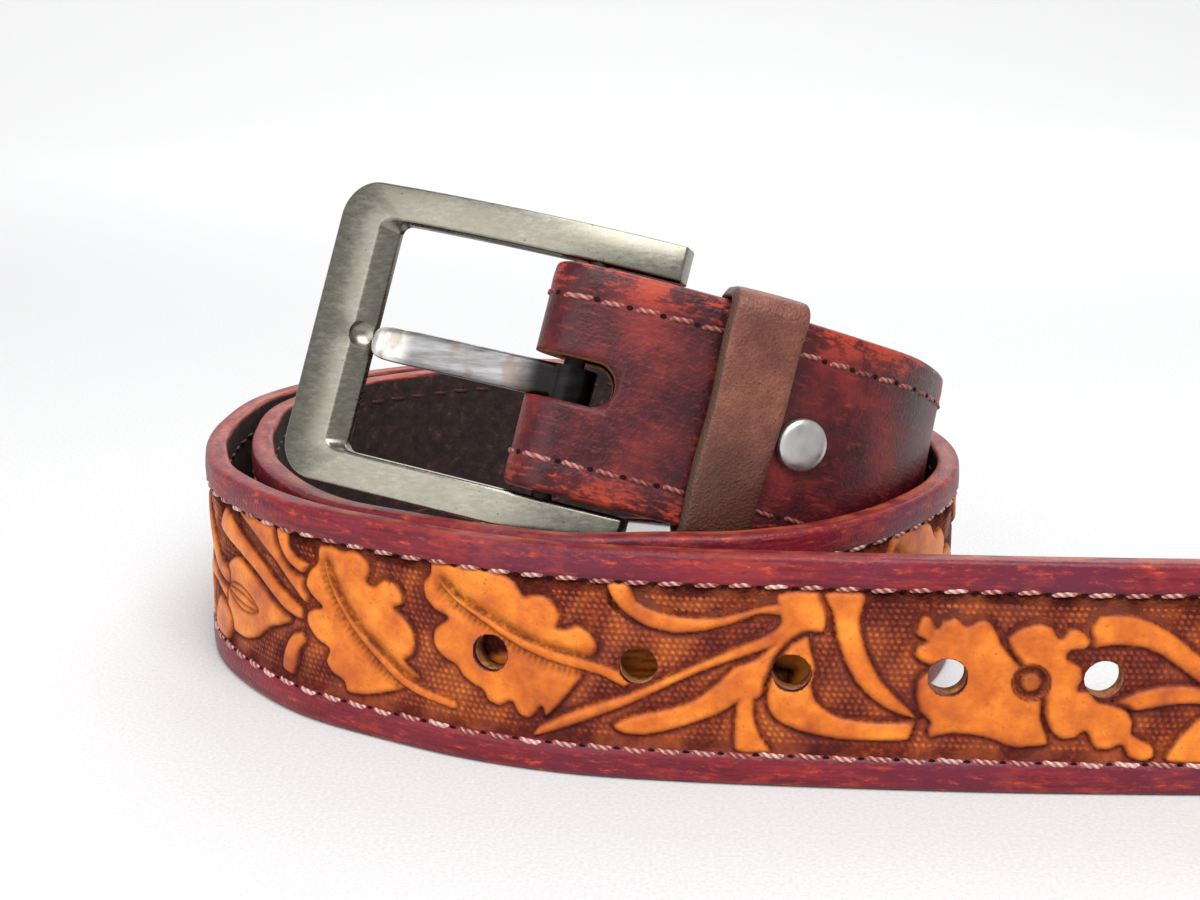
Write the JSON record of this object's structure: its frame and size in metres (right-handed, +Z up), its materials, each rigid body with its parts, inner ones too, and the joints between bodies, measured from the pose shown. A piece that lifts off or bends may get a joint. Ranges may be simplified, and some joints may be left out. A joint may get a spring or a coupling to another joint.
{
  "type": "western_belt",
  "caption": "Western leather belt rolled on its edge: oak-leaf tooled strap, stitched borders, cast nickel frame buckle with prong, brown keeper and post screw.",
  "frame": {"origin": "bottom centre of the part's box, on the table that the belt stands on", "axes": "+X along the free end towards its tip, -Y towards the viewer, +Z up"},
  "size_m": [0.259, 0.1656, 0.0956],
  "materials": {
    "burgundy_leather": "semi-gloss burgundy borders, tan antiqued tooling between them",
    "brown_leather": "smooth, satin",
    "satin_steel": "satin",
    "antiqued_nickel": "antiqued, brushed, with bright bevels"
  },
  "bodies": {
    "strap_body": {"strap": "burgundy_leather", "keeper_loop": "brown_leather", "screw_cap": "satin_steel", "screw_back": "satin_steel"},
    "frame_body": {"buckle_frame": "antiqued_nickel"},
    "prong_body": {"prong": "satin_steel"}
  },
  "joints": [
    {"name": "buckle_swing", "type": "hinge", "parent": "strap_body", "child": "frame_body", "pos_m": [-0.05271, -0.04916, 0.06304], "axis": [0.2401, 0.2867, 0.9275], "range_deg": [-10, 6]},
    {"name": "prong_swing", "type": "hinge", "parent": "frame_body", "child": "prong_body", "pos_m": [-0.05271, -0.04916, 0.06304], "axis": [0.2401, 0.2867, 0.9275], "range_deg": [-2, 105]}
  ]
}
